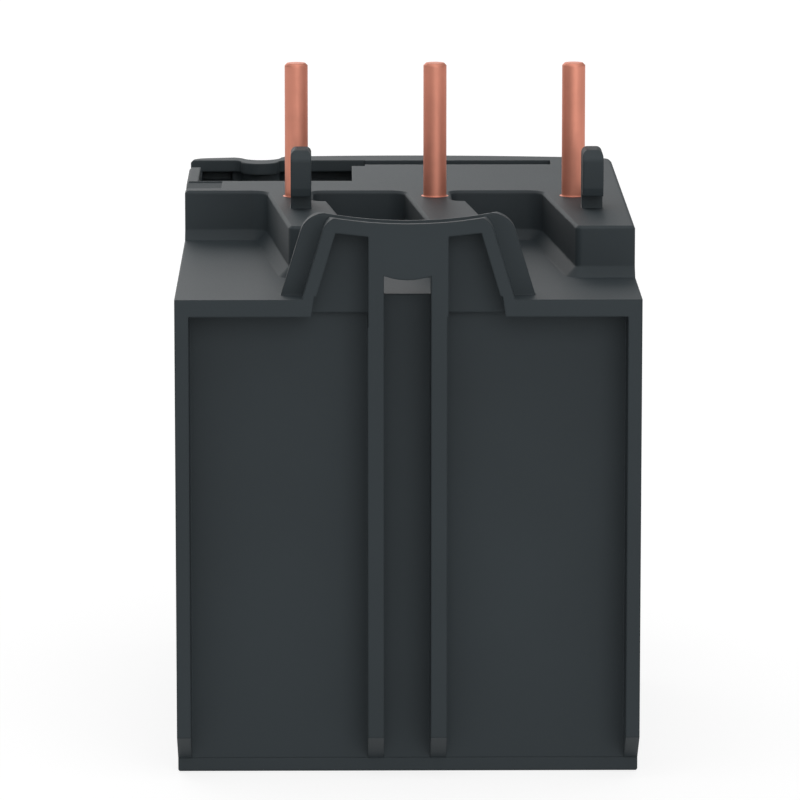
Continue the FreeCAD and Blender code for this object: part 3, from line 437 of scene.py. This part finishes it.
def dial_marks():
    """Scale ticks on the panel and plain numbers on the dial's rim."""
    low, high = box_mm("current_dial")
    x, z = (low.x + high.x) / 2, (low.z + high.z) / 2
    radius = (high.x - low.x) / 2
    panel_face = REAR_Y - box_mm("control_panel")[0].y
    ticks = bmesh.new()
    for i in range(11):
        turn = math.radians(-35 + 25 * i)
        length = 0.85 if i % 2 else 1.3
        strip(ticks, x, z, turn, radius + 0.35, radius + length, 0.09, panel_face)
    new_piece("dial_scale_ticks", mesh_of("dial_scale_ticks", ticks), PALE_INK, "housing")
    rim, reach = 64.8, 5.15
    for i in range(1, 7):
        turn = math.radians(90 - 40 * i)
        number(str(i), x + reach * math.cos(turn), rim, z + reach * math.sin(turn), turn)


housing_shell()
terminal_screws("power_terminal_screws", (-14.5, 0.0, 14.5), 8.0, 1.9, 1.7)
terminal_screws("auxiliary_terminal_screws", (-15.9, -5.3, 5.3, 15.9), 20.6, 1.6, 1.5)
for button, travel in (("reset", 2.0), ("stop", 2.0), ("test", 1.5)):
    coil(button + "_spring")
dial_marks()


# Floor, light and camera

def stage_plane(name, size, material):
    mesh = bpy.data.meshes.new(name)
    h = size / 2
    mesh.from_pydata([(-h, -h, 0), (h, -h, 0), (h, h, 0), (-h, h, 0)], [], [(0, 1, 2, 3)])
    obj = bpy.data.objects.new(name, mesh)
    bpy.context.scene.collection.objects.link(obj)
    mesh.materials.append(material)


def floor_material():
    """Matt floor that is white to the camera and in reflections, and keeps the shadow."""
    material, nodes, links, shader = new_material("floor")
    shader.inputs["Base Color"].default_value = (0.28, 0.28, 0.28, 1)
    shader.inputs["Roughness"].default_value = 0.9
    shader.inputs["Specular IOR Level"].default_value = 0
    path = nodes.new("ShaderNodeLightPath")
    seen = path.outputs["Is Camera Ray"]
    for ray in ("Is Glossy Ray", "Is Transmission Ray"):
        either = nodes.new("ShaderNodeMath")
        either.operation = "MAXIMUM"
        links.new(seen, either.inputs[0])
        links.new(path.outputs[ray], either.inputs[1])
        seen = either.outputs[0]
    glow = nodes.new("ShaderNodeMath")
    glow.operation = "MULTIPLY"
    glow.inputs[1].default_value = 0.8
    links.new(seen, glow.inputs[0])
    shader.inputs["Emission Color"].default_value = (1, 1, 1, 1)
    links.new(glow.outputs[0], shader.inputs["Emission Strength"])
    return material


stage_plane("floor", 6.0, floor_material())

world = bpy.data.worlds.new("studio")
bpy.context.scene.world = world
world.use_nodes = True
background = world.node_tree.nodes["Background"]
background.inputs["Color"].default_value = (1, 1, 1, 1)
background.inputs["Strength"].default_value = 0.42


def area(name, place, target, size, power):
    """Soft light at place that looks at target."""
    light = bpy.data.lights.new(name, "AREA")
    light.shape = "RECTANGLE"
    light.size, light.size_y = size
    light.energy = power
    obj = bpy.data.objects.new(name, light)
    bpy.context.scene.collection.objects.link(obj)
    obj.location = place
    aim = Vector(target) - Vector(place)
    obj.rotation_euler = aim.to_track_quat("-Z", "Y").to_euler()


area("overhead", (0.0, 0.1, 0.9), (0, 0, 0.03), (0.9, 0.9), 2.5)
area("rear_fill", (-0.2, 0.95, 0.35), (0, 0, 0.03), (0.8, 0.8), 3.3)
area("front_fill", (0.3, -0.9, 0.45), (0, 0, 0.03), (0.8, 0.8), 2.8)

YAW = math.radians(0.5968)         # the camera looks a little past the rear's middle
DOWN = math.radians(9.7315)        # and down on it
CAMERA_MM = (6.565, 587.146, 132.289)
camera = bpy.data.cameras.new("camera")
camera.sensor_width = 36
camera.lens = 261.8
camera.clip_start = 0.01
camera.clip_end = 20
camera_object = bpy.data.objects.new("camera", camera)
bpy.context.scene.collection.objects.link(camera_object)
camera_object.location = tuple(c * MM for c in CAMERA_MM)
look = Vector((-math.sin(YAW) * math.cos(DOWN), -math.cos(YAW) * math.cos(DOWN), -math.sin(DOWN)))
camera_object.rotation_euler = look.to_track_quat("-Z", "Y").to_euler()
bpy.context.scene.camera = camera_object

bpy.context.scene.view_settings.view_transform = "Standard"
